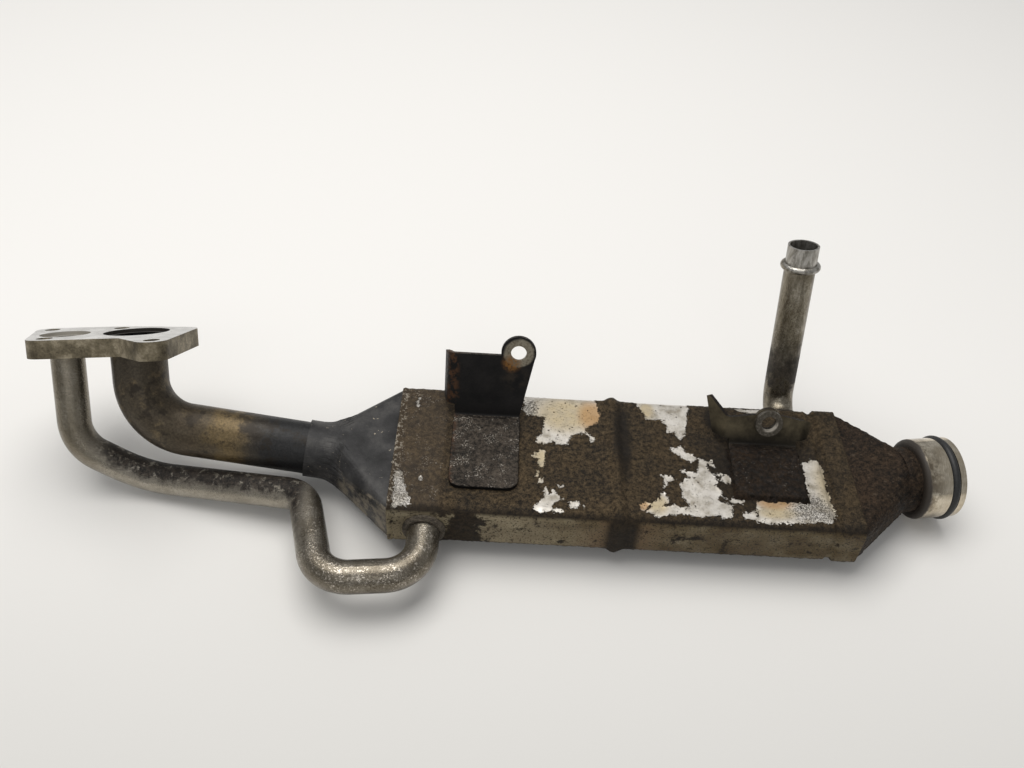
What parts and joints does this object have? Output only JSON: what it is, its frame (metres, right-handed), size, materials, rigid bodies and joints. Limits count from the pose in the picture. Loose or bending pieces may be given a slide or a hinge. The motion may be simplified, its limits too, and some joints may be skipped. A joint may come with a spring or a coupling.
{
  "type": "exhaust_gas_recirculation_cooler",
  "caption": "Sooty steel exhaust gas recirculation cooler with a flat rectangular body, bent gas and coolant pipes on one flange, two brackets and a sealed spigot",
  "frame": {"origin": "centre of the gas port on the flange's port face", "axes": "+X along the cooler from gas inlet to gas outlet, +Y across the broad face towards the coolant outlet side, +Z outward normal of the broad face that carries the brackets"},
  "size_m": [0.5369, 0.1887, 0.1305],
  "materials": {
    "shell_steel": "oily granular soot over sheet steel, rubbed bare in pale jagged patches",
    "diffuser_steel": "smooth dark scorched sheet steel",
    "gas_pipe_steel": "heat-tinted steel tube, dark brown to straw",
    "coolant_pipe_steel": "dull grey-olive steel tube with rust specks and soot",
    "flange_steel": "machined steel plate, dull edges",
    "bracket_steel": "matt black sooty sheet steel with rust at the folds",
    "turned_steel": "turned and polished steel",
    "seal_rubber": "black rubber",
    "core_steel": "plain brazed steel"
  },
  "bodies": {
    "root": {"shell": "shell_steel", "inlet_header": "core_steel", "outlet_header": "core_steel", "gas_tube_1": "core_steel", "gas_tube_2": "core_steel", "gas_tube_3": "core_steel", "gas_tube_4": "core_steel", "gas_tube_5": "core_steel", "gas_tube_6": "core_steel", "gas_tube_7": "core_steel", "gas_tube_8": "core_steel", "baffle_1": "core_steel", "baffle_2": "core_steel", "baffle_3": "core_steel", "inlet_diffuser": "diffuser_steel", "outlet_diffuser": "diffuser_steel", "gas_pipe": "gas_pipe_steel", "flange": "flange_steel", "coolant_inlet_pipe": "coolant_pipe_steel", "coolant_outlet_pipe": "coolant_pipe_steel", "inlet_socket": "coolant_pipe_steel", "outlet_socket": "coolant_pipe_steel", "front_bracket": "bracket_steel", "rear_bracket": "bracket_steel", "rear_weld_nut": "bracket_steel", "spigot": "turned_steel", "seal_ring": "seal_rubber"}
  },
  "joints": []
}
